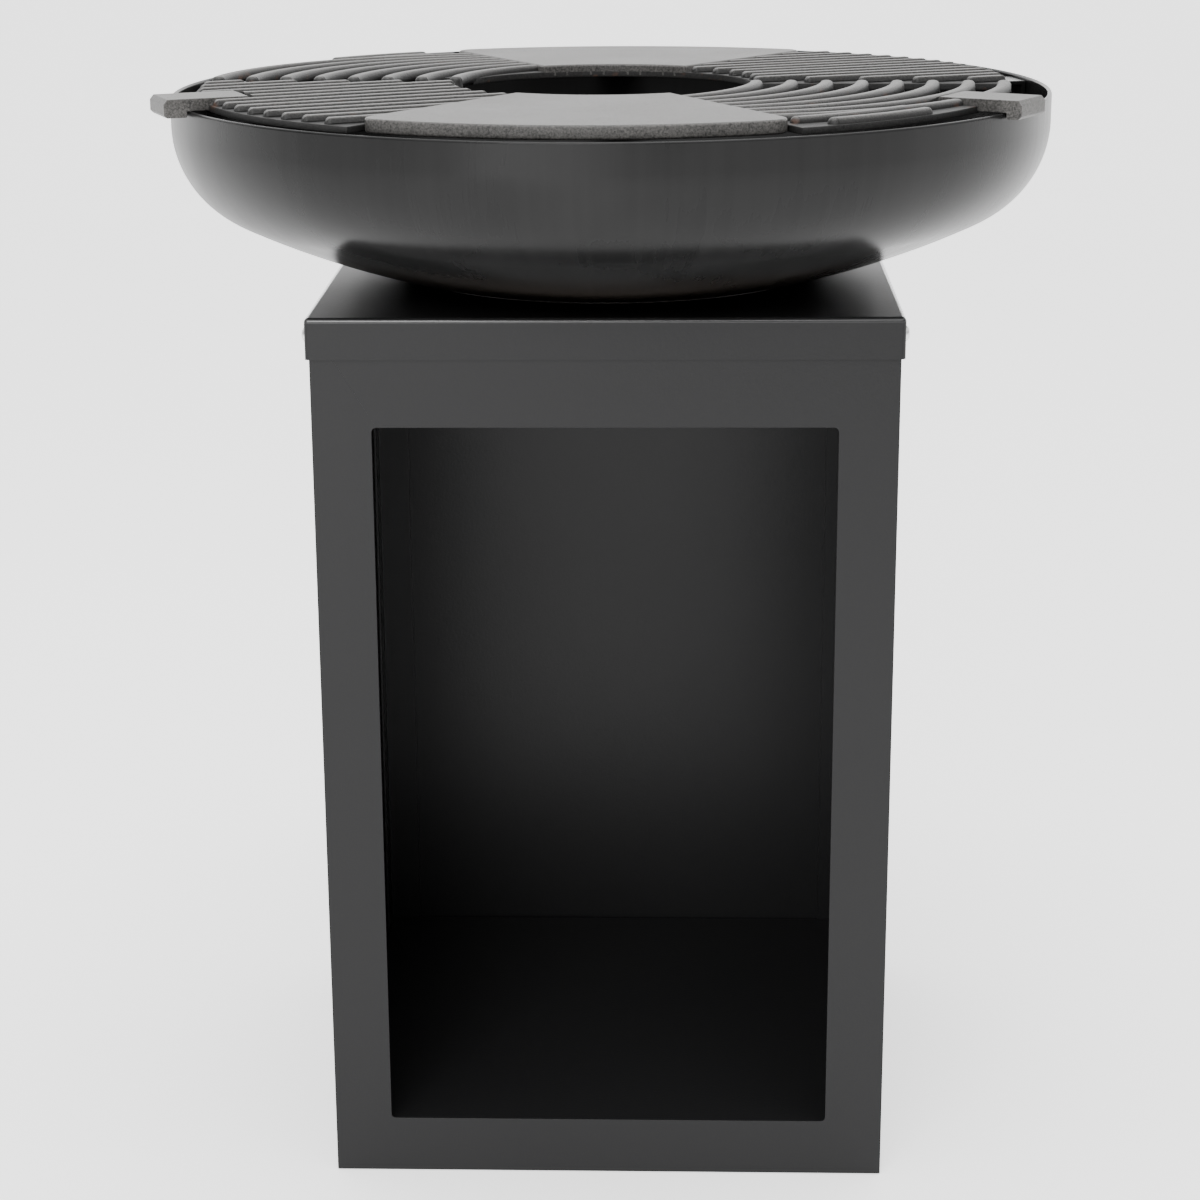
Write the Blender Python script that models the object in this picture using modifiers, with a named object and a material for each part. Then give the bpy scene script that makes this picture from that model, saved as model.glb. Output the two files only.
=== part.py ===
"""Fire pit with a cast-iron grate: a steel log-store pedestal, a dished steel bowl and two half-ring castings.

Metres, +Z up, -Y is the open front of the log store. The origin is on the ground, under the middle of
the pedestal. Run it with: blender --background --python part.py
"""

from math import acos, asin, cos, hypot, pi, radians, sin, sqrt

import bmesh
import bpy
from mathutils import Matrix

# ---------------------------------------------------------------- driving dimensions (metres)
TOUCH = 0.0003  # gap left between two pieces that touch

# Pedestal: a square sheet-steel box with an open front
BODY_WIDTH = 0.380
BODY_DEPTH = 0.380
PEDESTAL_HEIGHT = 0.604  # ground to the top face of the cap
SHEET = 0.002
OPENING_SIDE = 0.039  # each side of the opening, out to the body's edge
OPENING_BOTTOM = 0.040
OPENING_DROP = 0.072  # the cap's top face to the top of the opening
OPENING_CORNER = 0.003
ANGLE_LEG = 0.025
SHELF_DROP = 0.002  # the shelf's top face below the opening's bottom edge
SHELF_LIP = 0.020

# Cap: a shallow lid over the body, with the round hole that the bowl sits in
CAP_CLEARANCE = 0.0005  # each side, between the body and the skirt
CAP_SKIRT = 0.027
CAP_BEND = 0.003
CAP_HOLE_RADIUS = 0.140

# Cap screws and their nuts, M6
SCREW_FROM_CORNER = 0.015  # screw axis to the body's front or back face
SCREW_DROP = 0.0135  # screw axis below the cap's top face
SHANK_RADIUS = 0.003
SHANK_LENGTH = 0.013
SCREW_HOLE_RADIUS = 0.0033
HEAD_RADIUS = 0.00525
HEAD_HEIGHT = 0.0033
NUT_RADIUS = 0.00577  # across corners
NUT_HEIGHT = 0.005

# Bowl: a dished end, crown radius = diameter, with a short straight flange
BOWL_RADIUS = 0.300
BOWL_CROWN = 0.600
BOWL_KNUCKLE = 0.068
BOWL_FLANGE = 0.019
BOWL_WALL = 0.003
BOWL_SIDES = 64

# Rest brackets welded inside the bowl, which carry the back casting
BRACKET_WIDTH = 0.030
BRACKET_THICKNESS = 0.003
BRACKET_LEG = 0.013
BRACKET_REACH = 0.052
BRACKET_ANGLES = (radians(14), radians(90), radians(166))

# Grate: two half-ring castings around a hole for the flames
GRATE_FORWARD = 0.0113  # the ring's centre in front of the bowl's
GRATE_LEFT = 0.0035  # and to the left of it
GRATE_TURN = radians(-3)
GRATE_GAP = 0.0124  # between the two castings' straight edges
CASTING_HEIGHT = 0.009
CASTING_BASE = 0.0045  # the plate that carries the ridges
RING_INSET = 0.024  # the bowl's radius less the ring's
HOLE_RADIUS = 0.101
PLATE_SETBACK = 0.008  # the ring's radius less the flat cooking plate's
PLATE_HALF_ANGLE = radians(30)  # each side of its middle
PLATE_CORNER = 0.014
BACK_DIP = 0.004  # how much lower the back casting's far edge rests than its straight edge
ARC_STEP = radians(4)

RIDGE_WIDTH = 0.0055  # across the top
RIDGE_SLOPE = 0.0018  # how much wider a ridge is at its foot, each side
RIDGE_PITCH = 0.0183
RIDGE_SETBACK = 0.0008  # from the plate's edges to a ridge's foot

FINGER_WIDTH = 0.009  # across the top
FINGER_SLOPE = 0.001
FINGER_INSET = 0.0029  # the hole's edge to the first finger's centre, along the straight edge
FINGER_PITCH = 0.0237
FINGER_UNDERCUT = 0.0005
BAR_INSET = 0.0155  # the hole's edge to the first bar's centre, where it leaves the cooking plate
BAR_PITCH = 0.0171
BAR_STOP_ANGLE = radians(38)  # the short bars end here, below the seam line
WEB_ANGLE = radians(20)  # the plate under the bars ends here, below the seam line

HANDLE_ANGLE = radians(26.5)  # front edge of each handle, below the seam line
HANDLE_WIDTH = 0.038
HANDLE_LAP = 0.030  # how far a handle reaches in over the ring
HANDLE_OVERHANG = 0.006  # and out past the bowl's radius
HANDLE_THICKNESS = 0.008
HOOK_CLEARANCE = 0.0015
HOOK_DROP = 0.012  # top face to the bottom of the hook outside the rim

# ---------------------------------------------------------------- worked out from them
BODY_TOP = PEDESTAL_HEIGHT - SHEET - TOUCH
OPENING_WIDTH = BODY_WIDTH - 2 * OPENING_SIDE
OPENING_TOP = PEDESTAL_HEIGHT - OPENING_DROP
SHELF_HEIGHT = OPENING_BOTTOM - SHELF_DROP
PANEL = SHEET + TOUCH  # a sheet and the gap behind it
CAP_HALF_WIDTH = BODY_WIDTH / 2 + CAP_CLEARANCE + SHEET
CAP_HALF_DEPTH = BODY_DEPTH / 2 + CAP_CLEARANCE + SHEET
SCREW_Y = BODY_DEPTH / 2 - SCREW_FROM_CORNER
SCREW_Z = PEDESTAL_HEIGHT - SCREW_DROP

KNUCKLE_TO_CROWN = sqrt((BOWL_CROWN - BOWL_KNUCKLE) ** 2 - (BOWL_RADIUS - BOWL_KNUCKLE) ** 2)
BOWL_DEPTH = BOWL_FLANGE + BOWL_CROWN - KNUCKLE_TO_CROWN
SEAT_DEPTH = BOWL_CROWN - sqrt(BOWL_CROWN**2 - CAP_HOLE_RADIUS**2)
RIM_HEIGHT = PEDESTAL_HEIGHT - SEAT_DEPTH + BOWL_DEPTH + TOUCH

GRATE_TOP = RIM_HEIGHT + TOUCH + HANDLE_THICKNESS
GRATE_BOTTOM = GRATE_TOP - CASTING_HEIGHT
RING_RADIUS = BOWL_RADIUS - RING_INSET
PLATE_RADIUS = RING_RADIUS - PLATE_SETBACK
HANDLE_INNER = RING_RADIUS - HANDLE_LAP
HANDLE_OUTER = BOWL_RADIUS + HANDLE_OVERHANG
FINGER_FIRST = HOLE_RADIUS + FINGER_INSET
BAR_FIRST = HOLE_RADIUS + BAR_INSET
BAR_HALF = FINGER_WIDTH / 2 + FINGER_SLOPE
BACK_TILT = asin(BACK_DIP / PLATE_RADIUS)


def how_many(first, pitch, limit):
    """How many features stand at a pitch from first up to limit."""
    return int((limit - first) / pitch + 1e-6) + 1


# As many of each as fit: ridges across the 60-degree field, fingers and bars out to the ring's edge
RIDGE_FIELD = 2 * RING_RADIUS * sin(radians(90) / 3) - RIDGE_WIDTH - 2 * RIDGE_SLOPE
RIDGE_COUNT = how_many(0.0, RIDGE_PITCH, RIDGE_FIELD - RIDGE_PITCH)
FINGER_COUNT = how_many(FINGER_FIRST, FINGER_PITCH, RING_RADIUS - BAR_HALF)
BAR_COUNT = how_many(BAR_FIRST, BAR_PITCH, RING_RADIUS - BAR_HALF)


# ---------------------------------------------------------------- scene and materials
def clear_scene():
    for obj in list(bpy.data.objects):
        bpy.data.objects.remove(obj, do_unlink=True)


def new_collection(name):
    collection = bpy.data.collections.new(name)
    bpy.context.scene.collection.children.link(collection)
    return collection


def new_material(name, colour, roughness, metallic):
    material = bpy.data.materials.new(name)
    material.use_nodes = True
    shader = material.node_tree.nodes["Principled BSDF"]
    shader.inputs["Base Color"].default_value = (*colour, 1.0)
    shader.inputs["Roughness"].default_value = roughness
    shader.inputs["Metallic"].default_value = metallic
    material.diffuse_color = (*colour, 1.0)
    return material


clear_scene()
PARTS = new_collection("fire_pit_with_grate")
CUTTERS = new_collection("cutters")
COAT = new_material("charcoal powder coat", (0.045, 0.046, 0.050), 0.55, 0.0)
STEEL = new_material("satin black steel", (0.035, 0.035, 0.037), 0.42, 0.3)
IRON = new_material("cast iron", (0.16, 0.155, 0.15), 0.7, 0.4)
ZINC = new_material("zinc plate", (0.62, 0.62, 0.60), 0.35, 1.0)


# ---------------------------------------------------------------- modelling helpers
def add_object(name, mesh, collection, material=None):
    obj = bpy.data.objects.new(name, mesh)
    collection.objects.link(obj)
    if material:
        mesh.materials.append(material)
    if collection is not PARTS:
        obj.hide_render = True
        obj.display_type = "WIRE"
    return obj


def mesh_from(name, build):
    """A mesh that build(bm) fills."""
    bm = bmesh.new()
    build(bm)
    bmesh.ops.recalc_face_normals(bm, faces=bm.faces)
    mesh = bpy.data.meshes.new(name)
    bm.to_mesh(mesh)
    bm.free()
    return mesh


def box(name, low, high, collection=None, material=COAT):
    """A box between two corners."""
    size = [b - a for a, b in zip(low, high)]
    middle = [(a + b) / 2 for a, b in zip(low, high)]
    place = Matrix.Translation(middle) @ Matrix.Diagonal((*size, 1.0))
    mesh = mesh_from(name, lambda bm: bmesh.ops.create_cube(bm, size=1.0, matrix=place))
    return add_object(name, mesh, collection or PARTS, material)


def cylinder(name, radius, length, place, sides, collection=None, material=None):
    """A cylinder along the local Z of place, centred on it."""

    def build(bm):
        bmesh.ops.create_cone(
            bm, cap_ends=True, segments=sides, radius1=radius, radius2=radius, depth=length, matrix=place
        )

    return add_object(name, mesh_from(name, build), collection or PARTS, material)


def cut(obj, *cutters):
    for cutter in cutters:
        modifier = obj.modifiers.new("cut " + cutter.name, "BOOLEAN")
        modifier.operation = "DIFFERENCE"
        modifier.object = cutter


def extruded(name, outlines, low, high, collection=None, material=None):
    """A flat outline, or an outline and its holes, as a plate from height low to height high."""
    curve = bpy.data.curves.new(name, "CURVE")
    curve.dimensions = "2D"
    curve.fill_mode = "BOTH"
    curve.extrude = (high - low) / 2
    for points in outlines:
        spline = curve.splines.new("POLY")
        spline.points.add(len(points) - 1)
        for point, (x, y) in zip(spline.points, points):
            point.co = (x, y, 0.0, 1.0)
        spline.use_cyclic_u = True
    flat = bpy.data.objects.new(name + " outline", curve)
    CUTTERS.objects.link(flat)
    flat.location.z = (low + high) / 2
    bpy.context.view_layer.update()
    mesh = bpy.data.meshes.new_from_object(flat.evaluated_get(bpy.context.evaluated_depsgraph_get()))
    mesh.transform(flat.matrix_world)
    bpy.data.objects.remove(flat, do_unlink=True)
    bm = bmesh.new()
    bm.from_mesh(mesh)
    bmesh.ops.remove_doubles(bm, verts=bm.verts, dist=1e-6)
    bmesh.ops.recalc_face_normals(bm, faces=bm.faces)
    bm.to_mesh(mesh)
    bm.free()
    mesh.name = name
    return add_object(name, mesh, collection or PARTS, material)


def turned(name, profile, sides, material, place=None):
    """A profile of (radius, height) points, from the axis up inside and down outside, turned about Z."""

    def build(bm):
        points = [bm.verts.new((radius, 0.0, height)) for radius, height in profile]
        for a, b in zip(points, points[1:]):
            bm.edges.new((a, b))

    mesh = mesh_from(name, build)
    obj = add_object(name, mesh, PARTS, material)
    screw = obj.modifiers.new("turn", "SCREW")
    screw.steps = sides
    screw.render_steps = sides
    screw.use_merge_vertices = True
    screw.merge_threshold = 1e-6
    if place:
        obj.matrix_world = place
    return obj


def folded_tray(name, half_width, half_depth, low, high, lip=0.0, bend=0.0, material=COAT):
    """Sheet folded down on four sides from a flat top, with an optional lip turned in at the bottom."""

    def build(bm):
        size = (2 * half_width, 2 * half_depth, high - low, 1.0)
        place = Matrix.Translation((0, 0, (low + high) / 2)) @ Matrix.Diagonal(size)
        bmesh.ops.create_cube(bm, size=1.0, matrix=place)
        bm.faces.ensure_lookup_table()
        under = min(bm.faces, key=lambda face: face.calc_center_median().z)
        if lip:
            bmesh.ops.inset_region(bm, faces=[under], thickness=lip, use_even_offset=True)
        bmesh.ops.delete(bm, geom=[under], context="FACES_ONLY")
        if bend:
            folds = [e for e in bm.edges if len(e.link_faces) == 2]
            bmesh.ops.bevel(
                bm, geom=folds, offset=bend, offset_type="OFFSET", segments=3, profile=0.5, affect="EDGES"
            )

    obj = add_object(name, mesh_from(name, build), PARTS, material)
    wall = obj.modifiers.new("sheet", "SOLIDIFY")
    wall.thickness = SHEET
    wall.offset = -1.0
    wall.use_even_offset = True
    return obj


def arc(radius, start, end, centre=(0.0, 0.0), step=ARC_STEP):
    """Points on a circle from angle start to angle end, both included."""
    count = max(1, round(abs(end - start) / step))
    angles = [start + (end - start) * i / count for i in range(count + 1)]
    return [(centre[0] + radius * cos(a), centre[1] + radius * sin(a)) for a in angles]


def lofted(name, feet, tops, low, high, collection):
    """A solid between two outlines with the same number of points, one at each height."""

    def build(bm):
        rings = [
            [bm.verts.new((x, y, height)) for x, y in outline] for outline, height in ((feet, low), (tops, high))
        ]
        for ring in rings:
            bm.faces.new(ring)
        for i in range(len(feet)):
            bm.faces.new((rings[0][i - 1], rings[0][i], rings[1][i], rings[1][i - 1]))
        bmesh.ops.triangulate(bm, faces=[f for f in bm.faces if len(f.verts) > 4], ngon_method="EAR_CLIP")

    return add_object(name, mesh_from(name, build), collection)


# ---------------------------------------------------------------- pedestal
def rounded_rectangle(low, high, radius):
    (x0, y0), (x1, y1) = low, high
    corners = ((x1, y0, -pi / 2), (x1, y1, 0.0), (x0, y1, pi / 2), (x0, y0, pi))
    points = []
    for x, y, start in corners:
        middle = (x + (radius if x == x0 else -radius), y + (radius if y == y0 else -radius))
        points += arc(radius, start, start + pi / 2, middle, step=radians(30))
    return points


def upright_panel(name, outlines, outer_y, inner_y):
    """A plate drawn in X and Z, standing between two depths."""
    panel = extruded(name, outlines, 0.0, abs(inner_y - outer_y), material=COAT)
    stand = Matrix.Rotation(pi / 2, 4, "X")
    panel.data.transform(Matrix.Translation((0, max(outer_y, inner_y), 0)) @ stand)
    return panel


def screw_places():
    """Each cap screw's name and place, its local Z pointing out of the skirt."""
    for side, sign in (("left", -1), ("right", 1)):
        for end, depth in (("front", -SCREW_Y), ("rear", SCREW_Y)):
            seat = Matrix.Translation((sign * (CAP_HALF_WIDTH + TOUCH), depth, SCREW_Z))
            yield f"{end}_{side}", seat @ Matrix.Rotation(sign * pi / 2, 4, "Y")


def make_pedestal():
    half_width, half_depth = BODY_WIDTH / 2, BODY_DEPTH / 2
    face = rounded_rectangle((-half_width, 0.0), (half_width, BODY_TOP), SHEET / 4)
    opening = rounded_rectangle(
        (-OPENING_WIDTH / 2, OPENING_BOTTOM), (OPENING_WIDTH / 2, OPENING_TOP), OPENING_CORNER
    )
    upright_panel("front_panel", [face, opening], -half_depth, -half_depth + SHEET)
    upright_panel("back_panel", [face], half_depth, half_depth - SHEET)
    side_depth = half_depth - PANEL
    sides = [
        box("left_panel", (-half_width, -side_depth, 0), (-half_width + SHEET, side_depth, BODY_TOP)),
        box("right_panel", (half_width - SHEET, -side_depth, 0), (half_width, side_depth, BODY_TOP)),
    ]
    angles = []
    for side, x in (("left", -1), ("right", 1)):
        for end, y in (("front", -1), ("rear", 1)):
            a, b = half_width - PANEL, half_depth - PANEL
            corner = [
                (a, b), (a - ANGLE_LEG, b), (a - ANGLE_LEG, b - SHEET),
                (a - SHEET, b - SHEET), (a - SHEET, b - ANGLE_LEG), (a, b - ANGLE_LEG),
            ]
            outline = [(x * px, y * py) for px, py in corner]
            angles.append(
                extruded(f"corner_angle_{end}_{side}", [outline], 0.0, BODY_TOP - TOUCH, material=COAT)
            )
    shelf_inset = 2 * PANEL
    folded_tray(
        "log_shelf", half_width - shelf_inset, half_depth - shelf_inset, 0.0, SHELF_HEIGHT, lip=SHELF_LIP
    )
    cap = folded_tray(
        "top_cap", CAP_HALF_WIDTH, CAP_HALF_DEPTH, PEDESTAL_HEIGHT - CAP_SKIRT, PEDESTAL_HEIGHT, bend=CAP_BEND
    )
    cap_hole = cylinder(
        "cap hole", CAP_HOLE_RADIUS, 0.1, Matrix.Translation((0, 0, PEDESTAL_HEIGHT)), BOWL_SIDES, CUTTERS
    )
    cut(cap, cap_hole)
    for name, place in screw_places():
        hole = cylinder("hole " + name, SCREW_HOLE_RADIUS, 0.03, place, 16, CUTTERS)
        side = sides[0] if name.endswith("left") else sides[1]
        angle = next(a for a in angles if a.name.endswith(name))
        for piece in (cap, side, angle):
            cut(piece, hole)


def make_screws():
    """A dome-headed screw through the skirt, the side and the corner angle, and its nut inside."""
    dome = [(HEAD_RADIUS * cos(a), HEAD_HEIGHT * sin(a)) for a in (radians(d) for d in (90, 65, 40, 15, 0))]
    profile = [(0.0, -SHANK_LENGTH), (SHANK_RADIUS, -SHANK_LENGTH), (SHANK_RADIUS, 0.0), (HEAD_RADIUS, 0.0)]
    profile = [*dome, *reversed(profile)][: len(dome) + len(profile)]
    nut_outer = CAP_HALF_WIDTH + TOUCH - (BODY_WIDTH / 2 - PANEL - SHEET - TOUCH)
    for name, place in screw_places():
        turned("cap_screw_" + name, drop_repeats(profile), 12, ZINC, place)
        middle = place @ Matrix.Translation((0, 0, -nut_outer - NUT_HEIGHT / 2))
        nut = cylinder("cap_nut_" + name, NUT_RADIUS, NUT_HEIGHT, middle, 6, material=ZINC)
        cut(nut, cylinder("nut hole " + name, SCREW_HOLE_RADIUS, 0.02, middle, 12, CUTTERS))


def drop_repeats(points):
    kept = [points[0]]
    for point in points[1:]:
        if hypot(point[0] - kept[-1][0], point[1] - kept[-1][1]) > 1e-7:
            kept.append(point)
    return kept


# ---------------------------------------------------------------- bowl
def dished_profile(inset):
    """The bowl's section from the axis out and up to the rim, moved in from the outside by inset."""
    bottom = RIM_HEIGHT - BOWL_DEPTH
    crown_centre = bottom + BOWL_CROWN
    knuckle_height = RIM_HEIGHT - BOWL_FLANGE
    tangent = asin((BOWL_RADIUS - BOWL_KNUCKLE) / (BOWL_CROWN - BOWL_KNUCKLE))
    crown = arc(BOWL_CROWN - inset, -pi / 2, -pi / 2 + tangent, (0.0, crown_centre), step=radians(3.2))
    knuckle_middle = (BOWL_RADIUS - BOWL_KNUCKLE, knuckle_height)
    knuckle = arc(BOWL_KNUCKLE - inset, -pi / 2 + tangent, 0.0, knuckle_middle, step=radians(11))
    return [(0.0, crown[0][1]), *crown[1:], *knuckle[1:], (BOWL_RADIUS - inset, RIM_HEIGHT)]


def make_bowl():
    inside = dished_profile(BOWL_WALL)
    outside = dished_profile(0.0)
    turned("bowl", [*inside, *reversed(outside)], BOWL_SIDES, STEEL)
    corner_drop = BOWL_RADIUS - BOWL_WALL - TOUCH
    back = sqrt(corner_drop**2 - (BRACKET_WIDTH / 2) ** 2) - BOWL_RADIUS * (1 - cos(pi / BOWL_SIDES))
    for name, angle in zip(("right", "rear", "left"), BRACKET_ANGLES):
        covered = RING_RADIUS * sin(angle) + BRACKET_WIDTH / 2 * abs(cos(angle)) + GRATE_FORWARD
        top = GRATE_BOTTOM - TOUCH - covered * sin(BACK_TILT)
        section = [
            (back, top - BRACKET_LEG), (back, top), (back - BRACKET_REACH, top),
            (back - BRACKET_REACH, top - BRACKET_THICKNESS),
            (back - BRACKET_THICKNESS, top - BRACKET_THICKNESS), (back - BRACKET_THICKNESS, top - BRACKET_LEG),
        ]
        bracket = extruded(
            "grate_rest_" + name, [section], -BRACKET_WIDTH / 2, BRACKET_WIDTH / 2, material=STEEL
        )
        stand = Matrix.Rotation(angle, 4, "Z") @ Matrix.Rotation(pi / 2, 4, "X")
        bracket.data.transform(stand)


# ---------------------------------------------------------------- grate
def sector_outline(inner, outer, start, end, corner):
    """A ring sector between two angles, with its two outer corners rounded."""
    swing = asin(corner / (outer - corner))
    first = (outer - corner, start + swing)
    last = (outer - corner, end - swing)
    first_middle = (first[0] * cos(first[1]), first[0] * sin(first[1]))
    last_middle = (last[0] * cos(last[1]), last[0] * sin(last[1]))
    rounding = radians(25)
    return [
        *arc(corner, start - pi / 2, start + swing, first_middle, step=rounding),
        *arc(outer, start + swing, end - swing)[1:-1],
        *arc(corner, end - swing, end + pi / 2, last_middle, step=rounding),
        *arc(inner, end, start),
    ]


def web_outline():
    """The plate under the ridges and bars: a ring sector cut straight along the seam."""
    return [
        *arc(RING_RADIUS, -pi, -pi / 2 - PLATE_HALF_ANGLE),
        *arc(PLATE_RADIUS - PLATE_CORNER, -pi / 2 - PLATE_HALF_ANGLE, -pi / 2 + PLATE_HALF_ANGLE),
        *arc(RING_RADIUS, -pi / 2 + PLATE_HALF_ANGLE, -WEB_ANGLE),
        *arc(HOLE_RADIUS, -WEB_ANGLE, -pi),
    ]


def straight_ridges():
    """Parallel ridges along the middle radius of their sector, each clipped to it: foot and top outlines."""
    lean = radians(30)
    along, across = (-cos(lean), -sin(lean)), (-sin(lean), cos(lean))
    half = RIDGE_WIDTH / 2 + RIDGE_SLOPE
    for i in range(RIDGE_COUNT):
        offset = (i - (RIDGE_COUNT - 1) / 2) * RIDGE_PITCH
        reach = sqrt((RING_RADIUS - RIDGE_SETBACK) ** 2 - (abs(offset) + half) ** 2)
        hole = HOLE_RADIUS + RIDGE_SETBACK
        start = max(
            sqrt(max(0.0, hole**2 - offset**2)),
            ((offset + half) * cos(lean) + RIDGE_SETBACK) / sin(lean),
            -offset * cos(lean) / sin(lean) - half,
        )
        outlines = []
        for slope in (0.0, RIDGE_SLOPE):
            corners = ((start, -1), (start, 1), (reach, 1), (reach, -1))
            outline = []
            for s, side in corners:
                s += slope if s == start else -slope
                t = offset + side * (half - slope)
                outline.append((along[0] * s + across[0] * t, along[1] * s + across[1] * t))
            outlines.append(outline)
        yield outlines


def bar_outline(middle, radius, start, end, half):
    """A bar of half width half that follows an arc and ends in a round head."""
    step = radians(7)
    outside = arc(radius + half, start, end, middle, step)
    inside = arc(radius - half, end, start, middle, step)
    head = (middle[0] + radius * cos(end), middle[1] + radius * sin(end))
    return [*outside, *arc(half, end, end + pi, head, step=radians(36))[1:-1], *inside]


def curved_bars():
    """Ten bars that leave the cooking plate evenly: eight reach the straight edge, two stop short."""
    edge = -pi / 2 + PLATE_HALF_ANGLE
    halves = (FINGER_WIDTH / 2 + FINGER_SLOPE, FINGER_WIDTH / 2)
    for i in range(BAR_COUNT):
        radius = BAR_FIRST + i * BAR_PITCH
        begin, end, middle = edge - radians(1), -BAR_STOP_ANGLE, (0.0, 0.0)
        if i < FINGER_COUNT:
            start = (radius * cos(edge), radius * sin(edge))
            head = FINGER_FIRST + i * FINGER_PITCH
            centre = (head**2 - radius**2) / (2 * (head - start[0]))
            middle, radius = (centre, 0.0), head - centre
            begin = -acos((start[0] - centre) / radius) - radians(2)
            end = -asin(halves[0] / radius)
        yield [bar_outline(middle, radius, begin, end, half) for half in halves]


def handle_outline(inner, outer, side):
    """A handle's outline: a bar whose front edge is a radius of the ring."""
    turn = -HANDLE_ANGLE if side > 0 else -pi + HANDLE_ANGLE
    width = HANDLE_WIDTH * side
    corners = ((inner, 0.0), (outer, 0.0), (outer, width), (inner, width))
    return [(a * cos(turn) - b * sin(turn), a * sin(turn) + b * cos(turn)) for a, b in corners]


def hook_start(side):
    """How far along the handle its hook begins, outside the bowl's rim."""
    turn = -HANDLE_ANGLE if side > 0 else -pi + HANDLE_ANGLE
    centre = casting_place(GRATE_TURN, 0.0).to_translation()
    x, y = Matrix.Rotation(-turn - GRATE_TURN, 2) @ centre.to_2d()
    edges = (y, y + HANDLE_WIDTH * side)
    return max(sqrt((BOWL_RADIUS + HOOK_CLEARANCE) ** 2 - edge**2) for edge in edges) - x


def casting_place(turn, tilt):
    """Where a casting stands: its own origin is the middle of its straight edge, and it lies along -Y."""
    ring = Matrix.Translation((-GRATE_LEFT, -GRATE_FORWARD, GRATE_TOP)) @ Matrix.Rotation(turn, 4, "Z")
    edge = Matrix.Translation((0, -GRATE_GAP / 2, 0)) @ Matrix.Rotation(tilt, 4, "X")
    return ring @ edge @ Matrix.Translation((0, 0, -CASTING_HEIGHT))


def make_casting(name, turn, tilt, with_handles):
    """One half ring: a flat cooking plate between straight ridges and curved bars."""
    features = new_collection(name + " features")
    web = extruded(name, [web_outline()], 0.0, CASTING_BASE, material=IRON)
    middle = -pi / 2
    plate = sector_outline(
        HOLE_RADIUS, PLATE_RADIUS, middle - PLATE_HALF_ANGLE, middle + PLATE_HALF_ANGLE, PLATE_CORNER
    )
    pieces = [extruded(name + " plate", [plate], 0.0, CASTING_HEIGHT, features)]
    for i, (feet, tops) in enumerate(straight_ridges()):
        pieces.append(lofted(f"{name} ridge {i}", feet, tops, CASTING_BASE / 2, CASTING_HEIGHT, features))
    for i, (feet, tops) in enumerate(curved_bars()):
        pieces.append(lofted(f"{name} bar {i}", feet, tops, FINGER_UNDERCUT, CASTING_HEIGHT, features))
    if with_handles:
        for side, word in ((-1, "left"), (1, "right")):
            bar = handle_outline(HANDLE_INNER, HANDLE_OUTER, side)
            low = CASTING_HEIGHT - HANDLE_THICKNESS
            pieces.append(extruded(f"{name} handle {word}", [bar], low, CASTING_HEIGHT, features))
            hook = handle_outline(hook_start(side), HANDLE_OUTER, side)
            low = CASTING_HEIGHT - HOOK_DROP
            pieces.append(extruded(f"{name} hook {word}", [hook], low, CASTING_HEIGHT, features))
    join = web.modifiers.new("join", "BOOLEAN")
    join.operation = "UNION"
    join.operand_type = "COLLECTION"
    join.collection = features
    for piece in (web, *pieces):
        piece.matrix_world = casting_place(turn, tilt)


def finish():
    """Shade the round pieces smooth."""
    for obj in PARTS.objects:
        obj.data.shade_smooth()
        obj.data.set_sharp_from_angle(angle=radians(30))


make_pedestal()
make_screws()
make_bowl()
make_casting("front_casting", GRATE_TURN, 0.0, with_handles=True)
make_casting("back_casting", GRATE_TURN + pi, BACK_TILT, with_handles=False)
finish()
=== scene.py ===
# %% [markdown]
# # A fire pit with a cast-iron grate
# This lesson dresses a packed fire pit: a square steel log store, a dished bowl that sits in a round hole
# in its cap, and two half rings of cast iron over the bowl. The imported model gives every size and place,
# and each step below builds one piece or one finish on top of it.

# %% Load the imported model
from math import acos, asin, cos, degrees, pi, radians, sin, sqrt

import bmesh
import bpy
from mathutils import Matrix, Vector


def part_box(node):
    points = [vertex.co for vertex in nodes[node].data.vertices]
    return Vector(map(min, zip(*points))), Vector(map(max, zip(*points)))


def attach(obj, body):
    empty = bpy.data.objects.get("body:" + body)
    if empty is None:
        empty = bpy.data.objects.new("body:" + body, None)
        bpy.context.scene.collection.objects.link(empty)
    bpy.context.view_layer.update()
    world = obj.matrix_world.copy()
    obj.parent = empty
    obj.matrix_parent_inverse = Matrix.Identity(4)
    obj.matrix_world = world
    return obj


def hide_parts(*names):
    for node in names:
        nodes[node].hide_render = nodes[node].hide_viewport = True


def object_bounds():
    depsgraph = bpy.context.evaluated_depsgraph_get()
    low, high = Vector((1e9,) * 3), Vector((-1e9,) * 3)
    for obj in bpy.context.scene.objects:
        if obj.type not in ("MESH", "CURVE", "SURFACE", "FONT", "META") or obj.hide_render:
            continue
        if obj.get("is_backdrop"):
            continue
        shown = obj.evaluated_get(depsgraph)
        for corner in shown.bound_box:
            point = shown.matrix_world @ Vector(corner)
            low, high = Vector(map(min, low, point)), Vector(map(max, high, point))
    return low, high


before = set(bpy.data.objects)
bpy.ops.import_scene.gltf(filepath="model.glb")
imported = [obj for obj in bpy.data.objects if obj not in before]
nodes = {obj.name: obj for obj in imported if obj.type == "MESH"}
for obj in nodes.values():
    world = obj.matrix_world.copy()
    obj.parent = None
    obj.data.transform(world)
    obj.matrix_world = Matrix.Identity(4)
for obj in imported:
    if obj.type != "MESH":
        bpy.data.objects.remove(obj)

cad_box = [list(corner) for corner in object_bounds()]
print("box", [[round(v, 4) for v in corner] for corner in cad_box])

# %% [markdown]
# ## Sizes
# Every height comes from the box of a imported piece. Only what a box can't say, such as the pitch of the
# ridges, is written down here, in metres.

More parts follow.
